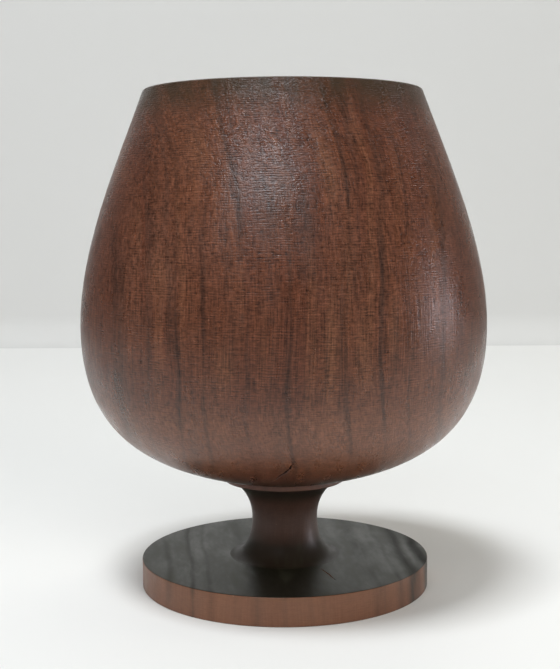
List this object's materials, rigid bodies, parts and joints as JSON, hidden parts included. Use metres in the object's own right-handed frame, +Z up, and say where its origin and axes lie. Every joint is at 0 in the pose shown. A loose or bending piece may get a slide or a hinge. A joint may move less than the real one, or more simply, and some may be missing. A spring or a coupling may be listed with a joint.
{
  "type": "turned wooden goblet",
  "caption": "Dark wooden snifter-shaped goblet used as a communion cup, with a short collared stem glued into the bowl and a flat disc foot.",
  "frame": {"origin": "centre of the flat standing face under the foot", "axes": "+Z up along the turning axis, from the foot to the rim; +X to the right and +Y away as seen from the front"},
  "size_m": [0.098, 0.098, 0.12],
  "materials": {
    "bowl_wood": "satin lacquer over fine lathe lines",
    "stem_wood": "satin lacquer",
    "foot_wood": "satin lacquer, end grain on the top face",
    "cured_glue": "clear amber, smooth"
  },
  "bodies": {
    "root": {"bowl": "bowl_wood", "stem": "stem_wood", "foot": "foot_wood", "upper_glue_film": "cured_glue", "lower_glue_film": "cured_glue"}
  },
  "joints": []
}
